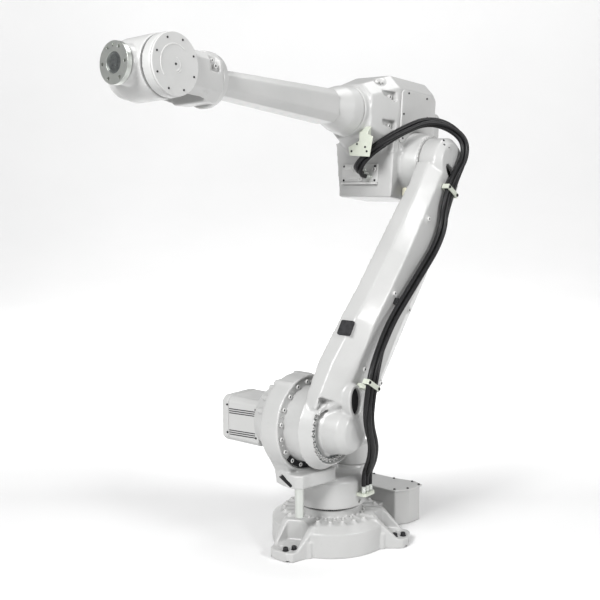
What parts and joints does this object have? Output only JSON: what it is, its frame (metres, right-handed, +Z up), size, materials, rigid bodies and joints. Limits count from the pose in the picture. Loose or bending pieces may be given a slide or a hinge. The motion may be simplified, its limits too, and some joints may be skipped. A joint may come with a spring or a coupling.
{
  "type": "industrial robot arm",
  "caption": "Articulated floor-mounted robot arm with a finned round base, leaning lower arm, long tapered forearm, bending wrist, round tool flange and an outside cable run.",
  "frame": {"origin": "where the first axis meets the floor that the base stands on", "axes": "+Z up along the first axis, +X to the front of the base where the forearm points, +Y to the side that the lower arm is on"},
  "size_m": [1.6987, 0.6611, 1.8053],
  "materials": {
    "painted_casting": "light grey satin paint on cast metal",
    "black_steel": "black oxide",
    "bare_steel": "machined steel",
    "plated_bracket": "pale plated sheet steel",
    "black_rubber": "matt black rubber",
    "cable_jacket": "smooth black cable jacket"
  },
  "bodies": {
    "base": {"base_casting": "painted_casting", "axis_1_bearing_ring": "black_steel", "foot_screw_1": "black_steel", "foot_screw_2": "black_steel", "foot_screw_3": "black_steel", "foot_screw_4": "black_steel", "foot_screw_5": "black_steel", "foot_screw_6": "black_steel", "connector_box": "painted_casting", "connector_box_lid": "painted_casting", "connector_panel": "painted_casting"},
    "turret": {"turret_casting": "painted_casting", "axis_1_motor": "painted_casting", "axis_2_gear_case": "painted_casting", "axis_2_motor": "painted_casting", "axis_2_motor_cap": "painted_casting", "stop_pin": "bare_steel", "waist_plug_bracket": "plated_bracket", "waist_plug_1": "bare_steel", "waist_plug_2": "bare_steel", "waist_plug_3": "bare_steel", "waist_cable_1": "cable_jacket", "waist_cable_2": "cable_jacket", "waist_cable_3": "cable_jacket"},
    "lower_arm": {"lower_arm_casting": "painted_casting", "bumper": "black_rubber", "low_cable_clamp": "plated_bracket", "high_cable_clamp": "plated_bracket", "cable_tie_bracket": "black_rubber", "arm_cable_1": "cable_jacket", "arm_cable_2": "cable_jacket", "arm_cable_3": "cable_jacket"},
    "elbow": {"elbow_housing": "painted_casting", "elbow_side_cover": "painted_casting", "elbow_front_cover": "painted_casting", "elbow_plug_1": "cable_jacket", "elbow_plug_2": "cable_jacket", "elbow_plug_3": "cable_jacket", "cable_bracket": "plated_bracket", "axis_3_motor": "painted_casting", "axis_4_motor": "painted_casting", "elbow_cable_1": "cable_jacket", "elbow_cable_2": "cable_jacket", "elbow_cable_3": "cable_jacket"},
    "forearm": {"forearm_tube": "painted_casting", "wrist_housing": "painted_casting", "wrist_side_cover_1": "painted_casting", "wrist_side_cover_2": "painted_casting"},
    "wrist": {"wrist_unit": "painted_casting"},
    "tool_flange": {"tool_flange": "bare_steel"}
  },
  "joints": [
    {"name": "axis_1_base_turn", "type": "hinge", "parent": "base", "child": "turret", "pos_m": [0, 0, 0.2], "axis": [0, 0, 1], "range_deg": [-180, 180]},
    {"name": "axis_2_lower_arm", "type": "hinge", "parent": "turret", "child": "lower_arm", "pos_m": [0.175, 0, 0.495], "axis": [0, 1, 0], "range_deg": [-59.6, 180.4], "deforming": ["waist_cable_1", "waist_cable_2", "waist_cable_3"]},
    {"name": "axis_3_upper_arm", "type": "hinge", "parent": "lower_arm", "child": "elbow", "pos_m": [-0.37911, 0, 1.43945], "axis": [0, -1, 0], "range_deg": [-48.8, 206.2], "deforming": ["elbow_cable_1", "elbow_cable_2", "elbow_cable_3"]},
    {"name": "axis_4_forearm_roll", "type": "hinge", "parent": "elbow", "child": "forearm", "pos_m": [-0.39192, 0, 1.61398], "axis": [0.9973, 0, 0.0732], "range_deg": [-402.1, 397.9]},
    {"name": "axis_5_wrist_bend", "type": "hinge", "parent": "forearm", "child": "wrist", "pos_m": [0.87467, 0, 1.707], "axis": [-0.0027, 0.9993, 0.0365], "range_deg": [-127, 118]},
    {"name": "axis_6_flange_turn", "type": "hinge", "parent": "wrist", "child": "tool_flange", "pos_m": [1.00957, 0.00017, 1.71218], "axis": [0.9993, 0.0013, 0.0384], "range_deg": [-400, 400]}
  ]
}
